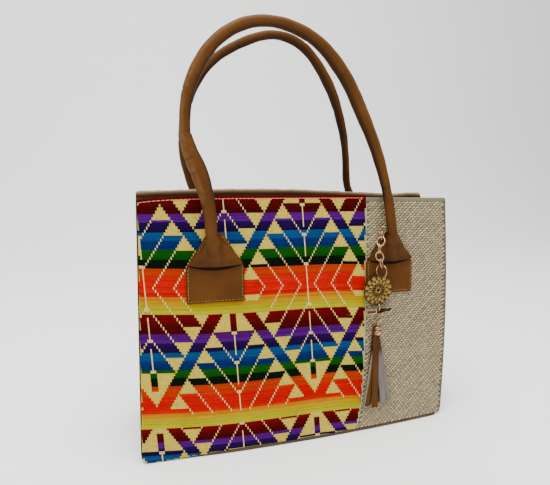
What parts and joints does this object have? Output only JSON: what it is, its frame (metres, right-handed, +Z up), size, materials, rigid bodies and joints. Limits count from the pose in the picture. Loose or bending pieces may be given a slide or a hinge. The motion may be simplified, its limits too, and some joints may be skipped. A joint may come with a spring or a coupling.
{
  "type": "woven handbag with hanging charm",
  "caption": "Upright open-topped handbag with a woven and canvas front, leather gussets and base, rolled leather handles and a charm with medallion and tassel on a chain.",
  "frame": {"origin": "middle of the base's underside, on the surface that the bag stands on", "axes": "+Z up, +X to the right seen from the front, the woven front faces -Y"},
  "size_m": [0.3716, 0.1242, 0.4609],
  "materials": {
    "weave": "rainbow bands of brocaded threads with a cream stepped lattice",
    "canvas": "coarse beige canvas weave",
    "leather": "smooth tan-brown leather, satin",
    "pale_gold": "polished pale rose gold plating",
    "old_gold": "antique gold plating, darkened recesses",
    "tassel_leather": "brown and white flat leather strips"
  },
  "bodies": {
    "root": {"front_weave": "weave", "front_canvas": "canvas", "back_canvas": "canvas", "gusset_left": "leather", "gusset_right": "leather", "base": "leather", "back_binding": "leather", "patch_front_left": "leather", "patch_front_right": "leather", "patch_back_left": "leather", "patch_back_right": "leather", "handle_front": "leather", "handle_back": "leather", "charm_loop": "pale_gold", "chain_link_1": "pale_gold", "chain_link_2": "pale_gold", "chain_link_3": "pale_gold", "chain_link_4": "pale_gold", "chain_link_5": "pale_gold", "ring_upper": "pale_gold", "ring_lower": "pale_gold", "ring_tassel": "pale_gold", "medallion": "old_gold", "tag": "old_gold", "tassel_cap": "pale_gold", "tassel": "tassel_leather"}
  },
  "joints": []
}
